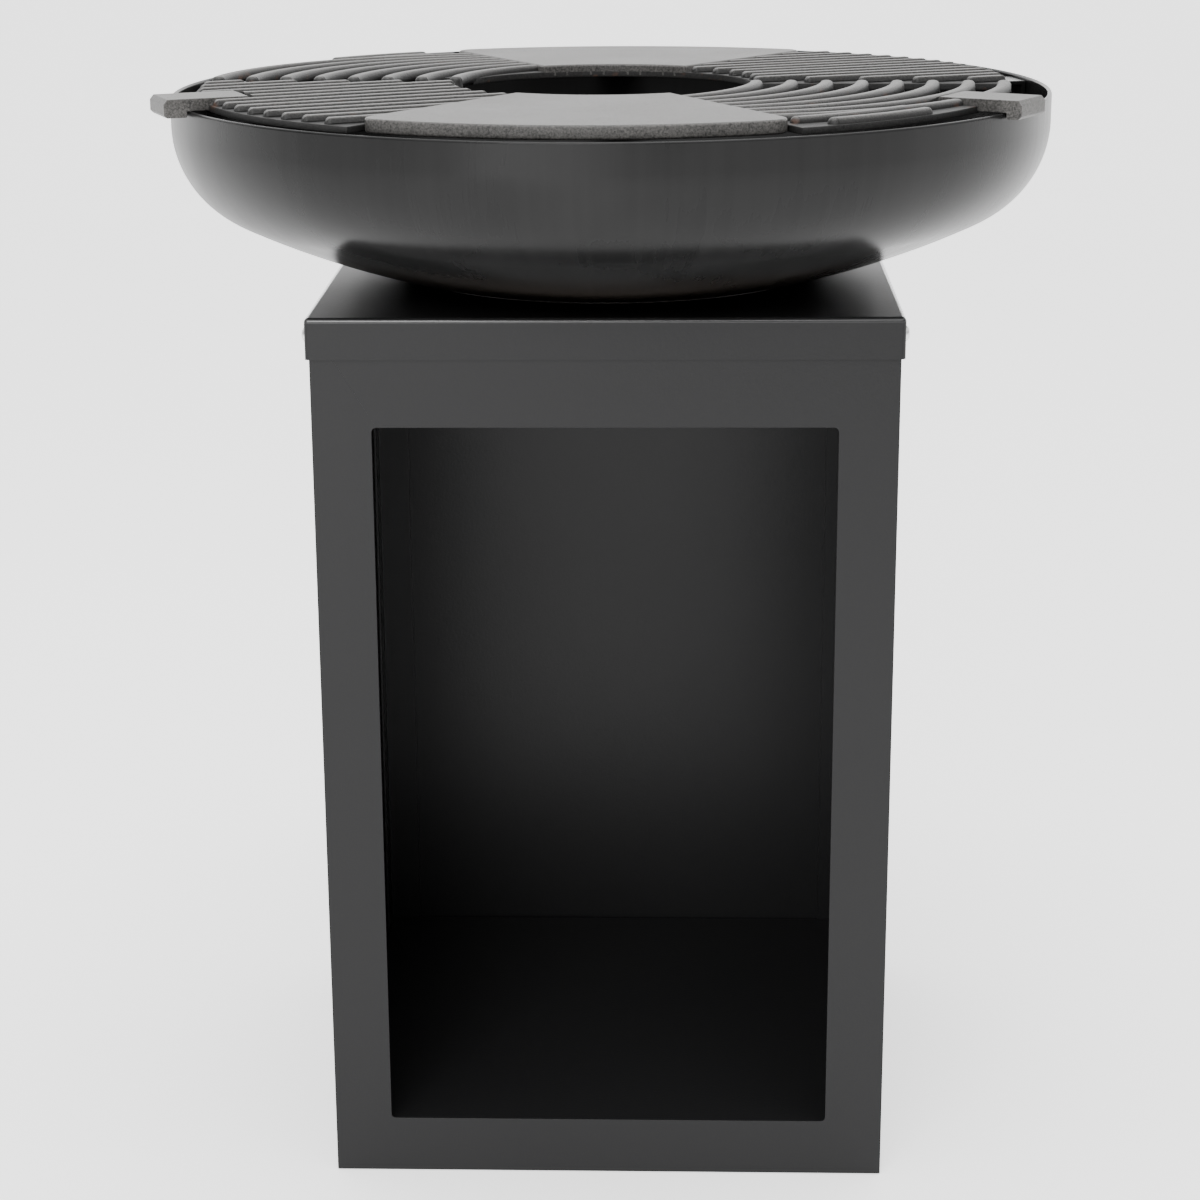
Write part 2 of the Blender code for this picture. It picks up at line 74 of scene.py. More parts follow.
# %% Read the main sizes from the model
bowl_low, bowl_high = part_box("bowl")
cap_low, cap_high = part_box("top_cap")
iron_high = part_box("front_casting")[1].z
RIM = bowl_high.z
BOWL_RADIUS = bowl_high.x
CAP_TOP = cap_high.z
print(f"rim {RIM:.4f}, cap {CAP_TOP:.4f}, grate {iron_high:.4f}, bowl radius {BOWL_RADIUS:.4f}")

# %% [markdown]
# ## Writing shader maths as expressions
# A shader is a graph of nodes, and a long sum drawn by hand soon becomes a tangle. A small class that wraps a
# socket and answers to +, -, * and ** lets the same sum be written as one line of Python. Each operator adds
# one Math node. The reflected forms are there so that a plain number may stand on the left.


# %% A class that wraps a socket
class Wire:
    def __init__(self, graph, socket):
        self.graph, self.socket = graph, socket

    def math(self, operation, *others):
        return self.graph.node("ShaderNodeMath", {"operation": operation}, [self, *others])[0]

    def __add__(self, other):
        return self.math("ADD", other)

    def __sub__(self, other):
        return self.math("SUBTRACT", other)

    def __mul__(self, other):
        return self.math("MULTIPLY", other)

    def __pow__(self, other):
        return self.math("POWER", other)

    def __rsub__(self, other):
        return self * -1.0 + other

    __radd__, __rmul__ = __add__, __mul__

    def clamp(self, low=0.0, high=1.0):
        return self.math("MAXIMUM", low).math("MINIMUM", high)


# %% [markdown]
# ## One method that makes any node
# Everything that isn't plain arithmetic goes through one method: the node's type, its settings, and the
# values or links of its sockets. The settings go first, because some of them change which sockets exist.


# %% A graph and its node method
class Graph:
    def __init__(self, tree, place="Object"):
        self.tree = tree
        self.place = self.node("ShaderNodeTexCoord")[place]

    def node(self, kind, settings={}, values=()):
        made = self.tree.nodes.new(kind)
        for key, value in settings.items():
            setattr(made, key, value)
        pairs = values.items() if isinstance(values, dict) else enumerate(values)
        for key, value in pairs:
            if isinstance(value, Wire):
                self.tree.links.new(value.socket, made.inputs[key])
            else:
                made.inputs[key].default_value = value
        return {key: Wire(self, s) for i, s in enumerate(made.outputs) for key in (s.name, i)}

    def noise(self, scale, detail=2.0, roughness=0.5, vector=None, distortion=0.0):
        values = {
            "Vector": vector or self.place, "Scale": scale, "Detail": detail,
            "Roughness": roughness, "Distortion": distortion,
        }
        return self.node("ShaderNodeTexNoise", {}, values)[0]

    def blend(self, factor, dark, light):
        values = {0: factor, 6: self.colour(dark), 7: self.colour(light)}
        return self.node("ShaderNodeMix", {"data_type": "RGBA"}, values)[2]

    def colour(self, value):
        return value if isinstance(value, Wire) else (*value, 1.0)

    def parts(self, vector=None):
        split = self.node("ShaderNodeSeparateXYZ", {}, [vector or self.place])
        return split["X"], split["Y"], split["Z"]

    def vector(self, x, y, z):
        return self.node("ShaderNodeCombineXYZ", {}, [x, y, z])["Vector"]

    def bump(self, height, distance, strength=1.0, under=None):
        values = {"Height": height, "Distance": distance, "Strength": strength}
        if under:
            values["Normal"] = under
        return self.node("ShaderNodeBump", {}, values)["Normal"]


# %% [markdown]
# ## What a finish is
# Paint, plating and bare iron differ only in what is fed to one shader, so a finish is a graph that ends in
# the Principled shader. A value that is the same all over is set on the shader's own socket, and only what
# changes over the surface is linked to it.


# %% A finish is a graph with a shader at its end
class Finish(Graph):
    def __init__(self, name, **constants):
        self.material = bpy.data.materials.new(name)
        self.material.use_nodes = True
        super().__init__(self.material.node_tree)
        self.shader = self.tree.nodes["Principled BSDF"]
        for socket, value in constants.items():
            self.shader.inputs[socket.replace("_", " ")].default_value = value

    def feed(self, **sockets):
        for name, wire in sockets.items():
            self.tree.links.new(wire.socket, self.shader.inputs[name.replace("_", " ")])
        return self.material


# %% [markdown]
# ## Powder coat on the log store
# Powder coat is melted plastic dust, so it is matt, nearly even in colour, and covered by a fine orange peel.
# Two noises make it: a fine one for the peel, which only bumps the surface, and a broad one for the
# slightly cloudy look of a large sheet. The powder melts thinner and glossier where it is drawn round the
# cap's bends, so a clear coat is weighted in there.

# %% The powder coat
BEND_REACH = 0.0031  # how far in from the cap's sides, and down from its top, the bends reach
coat = Finish("charcoal_powder_coat", IOR=1.5, Specular_IOR_Level=0.2, Coat_Roughness=0.18)
cloud = coat.noise(3.1, 4.0, 0.55)
speck = coat.noise(900.0, 1.0)
peel = coat.noise(420.0, 2.0, 0.6)
coat_shade = (cloud * 0.55 + speck * 0.45).clamp()
x, y, z = coat.parts()
near_side = x.math("ABSOLUTE").math("MAXIMUM", y.math("ABSOLUTE"))
near_side = near_side.math("GREATER_THAN", cap_high.x - BEND_REACH)
on_bend = near_side * z.math("GREATER_THAN", CAP_TOP - BEND_REACH)
powder_coat = coat.feed(
    Base_Color=coat.blend(coat_shade, (0.0062, 0.0062, 0.0065), (0.0140, 0.0140, 0.0145)),
    Roughness=(cloud * 0.16 + 0.26).clamp(),
    Coat_Weight=on_bend * (cloud + 0.4).clamp(),
    Normal=coat.bump(peel, 0.00012, 0.6),
)
print("finish", powder_coat.name, len(coat.tree.nodes), "nodes")

# %% [markdown]
# ## Satin black on the bowl
# The bowl is a spun steel head under thin heat-proof paint. It is smoother than the store, so it mirrors the
# bright studio at its edges. The spinning and the handling leave soft clouds and faint upright streaks: the
# streaks come from a noise that is read by the angle round the bowl and hardly at all by height. Underneath,
# nearest the fire's heart, the paint has turned faintly brown.

# %% The bowl's paint
SCORCH_TOP = 0.640  # the height below which the paint browns
satin = Finish("satin_black_steel", IOR=1.5, Specular_IOR_Level=0.16)
x, y, z = satin.parts()
angle = y.math("ARCTAN2", x)
streaks = satin.noise(1.0, 3.0, 0.6, satin.vector(angle * 34.0, 0.0, z * 3.0))
waves = satin.noise(6.0, 3.0, 0.5, distortion=0.4)
smears = ((waves - 0.5) * 1.9 + 0.5).clamp()
dust = satin.noise(650.0, 2.0, 0.7)
satin_shade = (smears * 0.6 + streaks * 0.4).clamp()
scorch = ((SCORCH_TOP - z) * 22.0).clamp()
paint = satin.blend(satin_shade, (0.002, 0.002, 0.002), (0.016, 0.016, 0.016))
bowl_paint = satin.feed(
    Base_Color=satin.blend(scorch * 0.6, paint, (0.022, 0.014, 0.009)),
    Roughness=(smears * 0.20 + streaks * 0.08 + 0.15).clamp(),
    Normal=satin.bump(dust, 0.00008, 0.5, satin.bump(waves, 0.0012, 0.35)),
)
print("finish", bowl_paint.name, len(satin.tree.nodes), "nodes")

# %% [markdown]
# ## Cast iron
# Sand-cast iron keeps the grain of its mould. The grain is a fine, deep bump with small pits, and the colour
# runs from a warm grey to near black in the pits. A second, broad noise keeps one casting from looking like a
# single poured colour. The grooves between the ridges lie in shade, so the castings carry a height value, 0 in
# a
# groove and 1 on top: the colour is painted darker towards the grooves as painted shade, and a little rust and
# a rougher surface stay in them.

# %% The iron
iron = Finish("as_cast_iron", IOR=1.5, Specular_IOR_Level=0.35)
grain = iron.noise(750.0, 3.0, 0.7)
pits = iron.noise(260.0, 2.0, 0.6)
patch = iron.noise(14.0, 4.0, 0.6)
# A height value made with the castings, 0 in a groove and 1 on top, used to paint shade into the grooves.
rub = iron.node("ShaderNodeAttribute", {"attribute_name": "rub"})["Fac"]
hollow = ((0.42 - pits) * 6.0).clamp()
iron_shade = ((grain - 0.5) * 2.6 + (patch - 0.5) * 0.8 + 0.5 - hollow * 0.3).clamp()
# Lit and shaded copies of the iron's colour: the darker one is painted shade for the grooves, where little
# light falls.
top_iron = iron.blend(iron_shade, (0.014, 0.0136, 0.0132), (0.100, 0.096, 0.091))
painted_groove_shade = iron.blend(iron_shade, (0.004, 0.004, 0.004), (0.020, 0.0195, 0.019))
rust = ((iron.noise(48.0, 3.0, 0.6) - 0.63) * 9.0).clamp() * (1.0 - rub) * 0.3
cast_iron = iron.feed(
    Base_Color=iron.blend(rust, iron.blend(rub**4.0, painted_groove_shade, top_iron), (0.20, 0.075, 0.030)),
    Roughness=(patch * 0.2 + grain * 0.15 + (1.0 - rub) * 0.15 + 0.28).clamp(),
    Normal=iron.bump(grain - hollow * 0.5, 0.00035, 0.7),
)
print("finish", cast_iron.name, len(iron.tree.nodes), "nodes")

# %% [markdown]
# ## Zinc plate
# The screws and nuts are plated, so they are the one bright metal on the object. Fine scratches round the
# head break up the mirror, and a slow noise gives the milky bloom that plating gets out of doors.

# %% The zinc plate
zinc = Finish("bright_zinc", Metallic=1.0)
scratch = zinc.noise(1400.0, 2.0, 0.6)
bloom = zinc.noise(180.0, 2.0)
zinc_plate = zinc.feed(
    Base_Color=zinc.blend(bloom, (0.55, 0.55, 0.54), (0.78, 0.78, 0.77)),
    Roughness=(scratch * 0.25 + 0.22).clamp(),
    Normal=zinc.bump(scratch, 0.00005, 0.4),
)
print("finish", zinc_plate.name, len(zinc.tree.nodes), "nodes")

# %% [markdown]
# ## Making meshes
# Four small helpers do most of the modelling. The first turns a function into a mesh object, the second keeps
# a mesh as its modifiers left it, the third rounds its edges, and the last gives a piece its finish and the
# body that it rides on. Weighted normals keep a large flat face evenly shaded beside small bevels.


# %% Mesh helpers
def mesh_object(name, build):
    bm = bmesh.new()
    build(bm)
    bmesh.ops.recalc_face_normals(bm, faces=bm.faces)
    mesh = bpy.data.meshes.new(name)
    bm.to_mesh(mesh)
    bm.free()
    obj = bpy.data.objects.new(name, mesh)
    bpy.context.scene.collection.objects.link(obj)
    return obj


def settle(obj):
    """The object's evaluated mesh takes the place of its own, and its modifiers go."""
    graph = bpy.context.evaluated_depsgraph_get()
    mesh = bpy.data.meshes.new_from_object(obj.evaluated_get(graph))
    mesh.name = obj.name
    obj.modifiers.clear()
    obj.data = mesh
    return obj


def soften(obj, width, segments=2, angle=35):
    bevel = obj.modifiers.new("soft edges", "BEVEL")
    bevel.width, bevel.segments, bevel.limit_method = width, segments, "ANGLE"
    bevel.angle_limit = radians(angle)
    bevel.use_clamp_overlap = True
    return settle(obj)


def dress(obj, material, slot, body, *stands_for, smooth=40):
    obj.data.materials.clear()
    obj.data.materials.append(material)
    obj.data.shade_smooth()
    obj.data.set_sharp_from_angle(angle=radians(smooth))
    even = obj.modifiers.new("even shading", "WEIGHTED_NORMAL")
    even.keep_sharp, even.weight = True, 100
    settle(obj)
    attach(obj, body)
    if stands_for:
        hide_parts(*stands_for)
    print(f"{obj.name}: {len(obj.data.polygons)} faces, finish {material.name}")
    return obj


# %% [markdown]
# ## Sheet steel with soft edges
# A cut sheet never has a perfectly sharp edge, and the thin line of light along it is what tells the eye that
# it is metal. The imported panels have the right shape, so each one is copied, its loose triangles are
# merged into faces, and a small bevel is put on its edges.


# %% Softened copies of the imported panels
PANEL_EDGE = 0.0004


def softened_copy(node, width):
    obj = nodes[node].copy()
    obj.data = nodes[node].data.copy()
    for key in list(obj.keys()):
        del obj[key]
    obj.parent = None
    obj.name = node + "_sheet"
    bpy.context.scene.collection.objects.link(obj)
    bm = bmesh.new()
    bm.from_mesh(obj.data)
    bmesh.ops.remove_doubles(bm, verts=bm.verts, dist=1e-6)
    bmesh.ops.dissolve_limit(bm, angle_limit=radians(1), verts=bm.verts, edges=bm.edges)
    bm.to_mesh(obj.data)
    bm.free()
    return soften(obj, width)


pedestal_sheets = [
    "front_panel", "back_panel", "left_panel", "right_panel", "log_shelf",
    "corner_angle_front_left", "corner_angle_rear_left",
    "corner_angle_front_right", "corner_angle_rear_right",
]
for node in pedestal_sheets:
    dress(softened_copy(node, PANEL_EDGE), powder_coat, "powder_coat", "pedestal", node)

# %% [markdown]
# ## The cap
# The cap is one sheet with its four sides pressed down. Light catches the bends as a bright line, so they
# want a true radius with enough faces to look round. The shape is a shell: an open box with its folds
# bevelled, given the sheet's thickness inwards, with the hole for the bowl cut last.

# %% Fold the cap
SHEET, CAP_BEND, CAP_HOLE = 0.002, 0.003, 0.140  # thickness, and the radii of the bends and the hole
PUNCH_DEPTH = 0.06


def lid(bm):
    size = (cap_high.x - cap_low.x, cap_high.y - cap_low.y, cap_high.z - cap_low.z, 1.0)
    middle = (cap_low + cap_high) / 2
    bmesh.ops.create_cube(bm, size=1.0, matrix=Matrix.Translation(middle) @ Matrix.Diagonal(size))
    under = min(bm.faces, key=lambda face: face.calc_center_median().z)
    bmesh.ops.delete(bm, geom=[under], context="FACES_ONLY")
    folds = [edge for edge in bm.edges if len(edge.link_faces) == 2]
    bmesh.ops.bevel(
        bm, geom=folds, offset=CAP_BEND, offset_type="OFFSET", segments=6, profile=0.5, affect="EDGES")


def punch_shape(bm):
    bmesh.ops.create_cone(
        bm, cap_ends=True, segments=160, radius1=CAP_HOLE, radius2=CAP_HOLE, depth=PUNCH_DEPTH,
        matrix=Matrix.Translation((0, 0, CAP_TOP)))


cap = mesh_object("cap_lid", lid)
wall = cap.modifiers.new("sheet", "SOLIDIFY")
wall.thickness, wall.offset, wall.use_even_offset = SHEET, -1.0, True
punch = mesh_object("punch", punch_shape)
hole = cap.modifiers.new("hole", "BOOLEAN")
hole.operation, hole.object = "DIFFERENCE", punch
settle(cap)
bpy.data.objects.remove(punch)
dress(cap, powder_coat, "powder_coat", "pedestal", "top_cap", smooth=30)

# %% [markdown]
# ## The bowl
# A dished head has three parts: a shallow crown, a tight knuckle and a short straight flange. Its section is
# drawn once, as one line up the inside and down the outside with a rounded rim, and turned about the upright
# axis. Many steps keep the rim round.

# %% Turn the bowl
CROWN, KNUCKLE = 0.600, 0.068  # the radii of the shallow middle and of the tight turn
FLANGE, WALL = 0.019, 0.003  # the straight part's height and the steel's thickness
TURNS = 192


def arc(radius, start, end, centre=(0.0, 0.0), steps=12):
    angles = [start + (end - start) * i / steps for i in range(steps + 1)]
    return [(centre[0] + radius * cos(a), centre[1] + radius * sin(a)) for a in angles]


def dished(inset):
    """The dish from its middle out to the top of the knuckle, moved inwards by a wall's thickness or by 0."""
    tangent = asin((BOWL_RADIUS - KNUCKLE) / (CROWN - KNUCKLE))
    crown = arc(CROWN - inset, -pi / 2, -pi / 2 + tangent, (0.0, bowl_low.z + CROWN), 26)
    knuckle = arc(KNUCKLE - inset, -pi / 2 + tangent, 0.0, (BOWL_RADIUS - KNUCKLE, RIM - FLANGE), 18)
    return crown + knuckle[1:]


def bowl_section():
    lip = arc(WALL / 2, 0.0, pi, (BOWL_RADIUS - WALL / 2, RIM - WALL / 2), 8)
    return dished(0.0) + lip + dished(WALL)[::-1]


def turn(bm, section, turns):
    """Turns a line of (radius, height) points about the upright axis."""
    line = [bm.verts.new((max(r, 0.0), 0.0, h)) for r, h in section]
    edges = [bm.edges.new(pair) for pair in zip(line, line[1:])]
    bmesh.ops.spin(bm, geom=line + edges, axis=(0, 0, 1), cent=(0, 0, 0), steps=turns, angle=2 * pi)
    bmesh.ops.remove_doubles(bm, verts=bm.verts, dist=1e-6)


bowl = mesh_object("fire_bowl_shell", lambda bm: turn(bm, bowl_section(), TURNS))
dress(bowl, bowl_paint, "bowl_steel", "fire_bowl", "bowl", smooth=50)

# %% [markdown]
# ## Rest brackets
# Three small brackets inside the rim carry the back casting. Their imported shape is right, so each is a
# softened copy too, with a slightly larger edge. They have the bowl's finish and ride with it.

# %% Rest brackets inside the bowl
BRACKET_EDGE = 0.0006
for side in ("left", "rear", "right"):
    node = "grate_rest_" + side
    dress(softened_copy(node, BRACKET_EDGE), bowl_paint, "bowl_steel", "fire_bowl", node)

# %% [markdown]
# ## Ribs from a node tree
# Each casting carries fourteen straight ridges and ten curved bars. They all share one section, a narrow top
# on a wider foot with rounded shoulders, swept along different lines. That is a job for Geometry Nodes: the
# lines are laid out as bare edges, and one tree sweeps the section along them. An attribute on the lines
# shrinks the ridges at their ends, which gives the slope of a casting that had to leave its mould, and
# another marks the points where the tree sets a bar's round end.


# %% The rib tree
def socket(tree, name, kind, way="INPUT"):
    return tree.interface.new_socket(name=name, in_out=way, socket_type="NodeSocket" + kind)


def rib_tree():
    tree = bpy.data.node_groups.new("sweep_ribs", "GeometryNodeTree")
    for name, kind in (
        ("Lines", "Geometry"), ("Top width", "Float"), ("Foot width", "Float"), ("Height", "Float"),
        ("Shoulder", "Float"), ("Head", "Object"), ("Material", "Material"),
    ):
        socket(tree, name, kind)
    socket(tree, "Ribs", "Geometry", "OUTPUT")
    add, link = tree.nodes.new, tree.links.new
    given, out = add("NodeGroupInput"), add("NodeGroupOutput")

    section = add("GeometryNodeCurvePrimitiveQuadrilateral")
    section.mode = "TRAPEZOID"
    link(given.outputs["Height"], section.inputs["Height"])
    link(given.outputs["Foot width"], section.inputs["Bottom Width"])
    link(given.outputs["Top width"], section.inputs["Top Width"])
    section.inputs["Offset"].default_value = 0.0
    fillet = add("GeometryNodeFilletCurve")
    fillet.mode = "POLY"
    link(section.outputs[0], fillet.inputs["Curve"])
    link(given.outputs["Shoulder"], fillet.inputs["Radius"])
    fillet.inputs["Count"].default_value = 4
    half = add("ShaderNodeMath")
    half.operation = "MULTIPLY"
    link(given.outputs["Height"], half.inputs[0])
    half.inputs[1].default_value = -0.5
    lift = add("ShaderNodeCombineXYZ")
    link(half.outputs[0], lift.inputs["Y"])
    stand = add("GeometryNodeTransform")
    link(fillet.outputs[0], stand.inputs["Geometry"])
    link(lift.outputs[0], stand.inputs["Translation"])
    stand.inputs["Rotation"].default_value = (0.0, 0.0, pi)

    curve = add("GeometryNodeMeshToCurve")
    link(given.outputs["Lines"], curve.inputs["Mesh"])
    upright = add("GeometryNodeSetCurveNormal")
    upright.mode = "Z_UP"
    link(curve.outputs[0], upright.inputs["Curve"])
    swell = add("GeometryNodeInputNamedAttribute")
    swell.data_type = "FLOAT"
    swell.inputs["Name"].default_value = "swell"
    radius = add("GeometryNodeSetCurveRadius")
    link(upright.outputs[0], radius.inputs["Curve"])
    link(swell.outputs["Attribute"], radius.inputs["Radius"])
    sweep = add("GeometryNodeCurveToMesh")
    link(radius.outputs[0], sweep.inputs["Curve"])
    link(stand.outputs[0], sweep.inputs["Profile Curve"])
    sweep.inputs["Fill Caps"].default_value = True
    if "Scale" in sweep.inputs:
        link(swell.outputs["Attribute"], sweep.inputs["Scale"])

    button = add("GeometryNodeObjectInfo")
    link(given.outputs["Head"], button.inputs["Object"])
    ends = add("GeometryNodeInputNamedAttribute")
    ends.data_type = "BOOLEAN"
    ends.inputs["Name"].default_value = "head"
    place = add("GeometryNodeInstanceOnPoints")
    link(given.outputs["Lines"], place.inputs["Points"])
    link(ends.outputs["Attribute"], place.inputs["Selection"])
    link(button.outputs["Geometry"], place.inputs["Instance"])

    join = add("GeometryNodeJoinGeometry")
    link(sweep.outputs[0], join.inputs[0])
    link(place.outputs[0], join.inputs[0])
    realize = add("GeometryNodeRealizeInstances")
    link(join.outputs[0], realize.inputs[0])
    paint = add("GeometryNodeSetMaterial")
    link(realize.outputs[0], paint.inputs["Geometry"])
    link(given.outputs["Material"], paint.inputs["Material"])
    link(paint.outputs[0], out.inputs[0])
    return tree


RIBS = rib_tree()
print("rib tree", len(RIBS.nodes), "nodes")


# %% [markdown]
# ## Running a tree
# A node tree does its work as a modifier. Its inputs are known there by an identifier and not by name, so the
# names are looked up once, the values are set before the object is first evaluated, and the result is kept
# as a plain mesh.


# %% Run a node tree on an object, and keep the mesh
def grow(obj, tree, **values):
    modifier = obj.modifiers.new(tree.name, "NODES")
    modifier.node_group = tree
    names = {item.name: item.identifier for item in tree.interface.items_tree if item.in_out == "INPUT"}
    for name, value in values.items():
        modifier[names[name.replace("_", " ")]] = value
    obj.update_tag()
    bpy.context.view_layer.update()
    return settle(obj)


# %% [markdown]
# ## The lines of the ridges and bars
# The straight ridges run along the middle radius of their sector, so they are parallel to one another. The
# bars leave the flat plate at even steps, and each bends on its own circle so that it meets the straight
# edge squarely. Two short bars outside them stop before the handle.

# %% Lay out the lines
RING, HOLE, PLATE = 0.276, 0.101, 0.268  # the radii of the web, the hole in the middle and the plate
PLATE_HALF = radians(30)
HEIGHT, BASE = 0.009, 0.0045  # how thick the plate is, and the web under the ridges
RIDGE_TOP, RIDGE_FOOT, RIDGE_PITCH, RIDGES = 0.0055, 0.0091, 0.0183, 14
BAR_TOP, BAR_FOOT, BARS, FINGERS = 0.0085, 0.0105, 10, 8
RIDGE_ROUND, BAR_ROUND = 0.0011, 0.0032  # the round of the shoulders
RIB_DROP = 0.0005  # the ridges and bars stand this much lower than the plate and the handles
FINGER_FIRST, FINGER_PITCH, BAR_FIRST, BAR_PITCH = 0.1039, 0.0237, 0.1165, 0.0171
BAR_STOP, WEB_END = radians(38), radians(20)
TAPER = ((0.0, 0.45), (0.0012, 0.8), (0.0028, 1.0))  # distance from a ridge's end, and its share of full size
SUNK, BAR_LIFT = 0.0006, 0.0006  # how deep a ridge is set in the web, and how high a bar's foot stands
RIDGE_TALL = HEIGHT - RIB_DROP - BASE + SUNK
BAR_TALL = HEIGHT - RIB_DROP - BAR_LIFT
BAR_GAPS = (radians(3), radians(6.5))  # how far the two short bars start from the plate


def ridge_lines():
    lean, half = radians(30), RIDGE_FOOT / 2
    for i in range(RIDGES):
        offset = (i - (RIDGES - 1) / 2) * RIDGE_PITCH
        reach = sqrt((RING - 0.001) ** 2 - (abs(offset) + half) ** 2)
        start = max(
            sqrt(max(0.0, HOLE**2 - offset**2)) + 0.001,
            ((offset + half) * cos(lean) + 0.001) / sin(lean),
            -offset * cos(lean) / sin(lean) - half,
        )
        steps = [(start + s, w) for s, w in TAPER] + [(reach - s, w) for s, w in reversed(TAPER)]
        yield [
            (-cos(lean) * s - sin(lean) * offset, -sin(lean) * s + cos(lean) * offset, w) for s, w in steps
        ]


def bar_lines():
    edge = -pi / 2 + PLATE_HALF
    for i in range(BARS):
        radius = BAR_FIRST + i * BAR_PITCH
        centre, begin, end = 0.0, edge - radians(1), -BAR_STOP
        if i < FINGERS:
            head, start = FINGER_FIRST + i * FINGER_PITCH, radius * cos(edge)
            centre = (head**2 - radius**2) / (2 * (head - start))
            radius = head - centre
            begin, end = -acos((start - centre) / radius) - radians(1), -asin(BAR_FOOT / 2 / radius)
        if i >= BARS - 2:
            begin += BAR_GAPS[i - BARS]
        yield [(x + centre, y, 1.0) for x, y in arc(radius, begin, end, steps=24)]


def line_object(name, lines, heads, height):
    def build(bm):
        swell = bm.verts.layers.float.new("swell")
        head = bm.verts.layers.bool.new("head")
        for line in lines:
            chain = []
            for px, py, w in line:
                point = bm.verts.new((px, py, height))
                point[swell] = w
                chain.append(point)
            for a, b in zip(chain, chain[1:]):
                bm.edges.new((a, b))
            chain[0][head] = chain[-1][head] = heads

    return mesh_object(name, build)


print("ridges", len(list(ridge_lines())), "bars", len(list(bar_lines())))

# %% [markdown]
# ## The flat parts of a casting
# Under the ridges lies a thin web, and in the middle of the casting a smooth plate to cook on. Both are flat
# shapes of even thickness, so an outline of arcs is drawn for each and raised straight up. The plate's outer
# corners are rounded, and the web runs a little way under it, so that the two overlap.


# %% Outlines of the flat pieces
PLATE_CORNER = 0.014


def slab(name, outline, low, high):
    def build(bm):
        face = bm.faces.new([bm.verts.new((px, py, low)) for px, py in outline])
        made = bmesh.ops.extrude_face_region(bm, geom=[face])["geom"]
        raised = [item for item in made if isinstance(item, bmesh.types.BMVert)]
        bmesh.ops.translate(bm, verts=raised, vec=(0, 0, high - low))

    return mesh_object(name, build)


def web_outline():
    mid = -pi / 2
    return [
        *arc(RING, -pi, mid - PLATE_HALF, steps=16),
        *arc(PLATE - PLATE_CORNER, mid - PLATE_HALF, mid + PLATE_HALF, steps=12),
        *arc(RING, mid + PLATE_HALF, -WEB_END, steps=12),
        *arc(HOLE, -WEB_END, -pi, steps=32),
    ]


def plate_outline():
    reach = PLATE - PLATE_CORNER
    swing = asin(PLATE_CORNER / reach)
    first, last = -pi / 2 - PLATE_HALF, -pi / 2 + PLATE_HALF
    left = (reach * cos(first + swing), reach * sin(first + swing))
    right = (reach * cos(last - swing), reach * sin(last - swing))
    return [
        *arc(PLATE_CORNER, first - pi / 2, first + swing, left, 8),
        *arc(PLATE, first + swing, last - swing, steps=28)[1:-1],
        *arc(PLATE_CORNER, last - swing, last + pi / 2, right, 8),
        *arc(HOLE, last, first, steps=20),
    ]


# %% [markdown]
# ## Where the castings lie
# A casting is drawn in its own frame, with the middle of its straight edge at the origin, and then stood in
# place by one matrix. The castings don't lie quite true in the bowl: they are a little to one side, turned by
# a few degrees, with a narrow gap between them, and the back one dips a little at its far edge.


# %% Place the castings
GRATE_LEFT, GRATE_FORWARD, GRATE_GAP = 0.0035, 0.0113, 0.0124
GRATE_TURN, BACK_DIP = radians(-3), 0.004


def casting_place(turned, tilt):
    ring = Matrix.Translation((-GRATE_LEFT, -GRATE_FORWARD, iron_high)) @ Matrix.Rotation(turned, 4, "Z")
    edge = Matrix.Translation((0, -GRATE_GAP / 2, 0)) @ Matrix.Rotation(tilt, 4, "X")
    return ring @ edge @ Matrix.Translation((0, 0, -HEIGHT))


FRONT_PLACE = casting_place(GRATE_TURN, 0.0)
BACK_PLACE = casting_place(GRATE_TURN + pi, asin(BACK_DIP / PLATE))
print("front casting's origin", [round(v, 4) for v in FRONT_PLACE.to_translation()])

# %% [markdown]
# ## Handles
# Only the front casting has handles. Each is a flat bar whose front edge is a radius of the ring. Its inner
# end slopes down to the ring, and past the bowl's rim it drops into a hook that keeps the casting in place.

# %% Handle shapes
HANDLE_ANGLE, HANDLE_WIDTH, HANDLE_IN, HANDLE_OUT = radians(26.5), 0.038, 0.246, 0.306
HANDLE_DEPTH, HOOK_DROP = 0.008, 0.012
HANDLE_SLOPE, HANDLE_EDGE = 0.0035, 0.0011  # the run of the sloping inner end, and the bevel of the edges
RIM_CLEAR, RIB_CLEAR = 0.0015, 0.0016  # how far the hook stays off the rim, and the ribs off the handle


def hook_start(side):
    """How far along the handle its hook begins, just outside the bowl's rim."""
    turn_by = handle_turn(side)
    a, b = Matrix.Rotation(-turn_by - GRATE_TURN, 2) @ FRONT_PLACE.to_translation().to_2d()
    outside = BOWL_RADIUS + RIM_CLEAR
    return max(sqrt(outside**2 - (b + w) ** 2) for w in (0.0, HANDLE_WIDTH * side)) - a


def handle_turn(side):
    return -HANDLE_ANGLE if side > 0 else -pi + HANDLE_ANGLE


